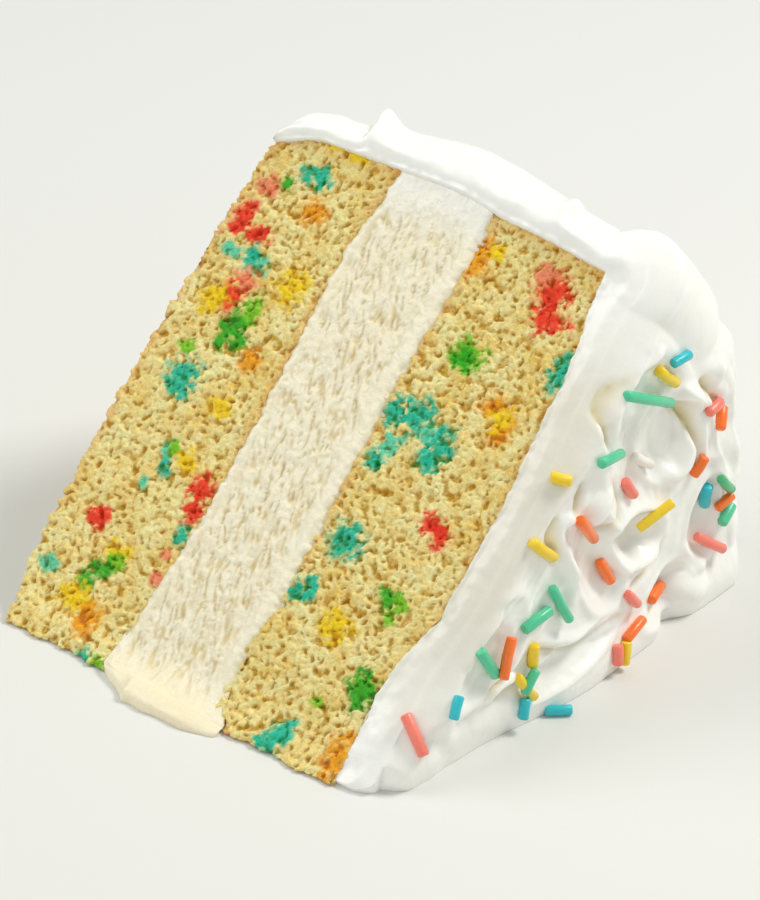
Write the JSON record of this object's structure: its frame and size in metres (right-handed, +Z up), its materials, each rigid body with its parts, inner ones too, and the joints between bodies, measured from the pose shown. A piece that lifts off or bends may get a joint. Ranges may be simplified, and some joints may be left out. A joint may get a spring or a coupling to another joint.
{
  "type": "ice cream cake slice",
  "caption": "Wedge of cake lying on its side: confetti cake layers with an ice cream filling, spooned white frosting on top and rim, and rod sprinkles.",
  "frame": {"origin": "middle of the footprint on the table, at the height of the table", "axes": "+X from the bottom of the cake to its frosted top, +Y from the tip of the wedge to its rim, +Z up from the cut side it lies on"},
  "size_m": [0.109, 0.132, 0.0902],
  "materials": {
    "cake": "pale yellow open crumb with coloured spots",
    "ice_cream": "cream white, wrinkled cut, melting and glossy at the tip",
    "frosting": "soft glossy white with pastel rod sprinkles"
  },
  "bodies": {
    "root": {"cake_layer_bottom": "cake", "ice_cream_layer": "ice_cream", "cake_layer_top": "cake", "frosting": "frosting"}
  },
  "joints": []
}
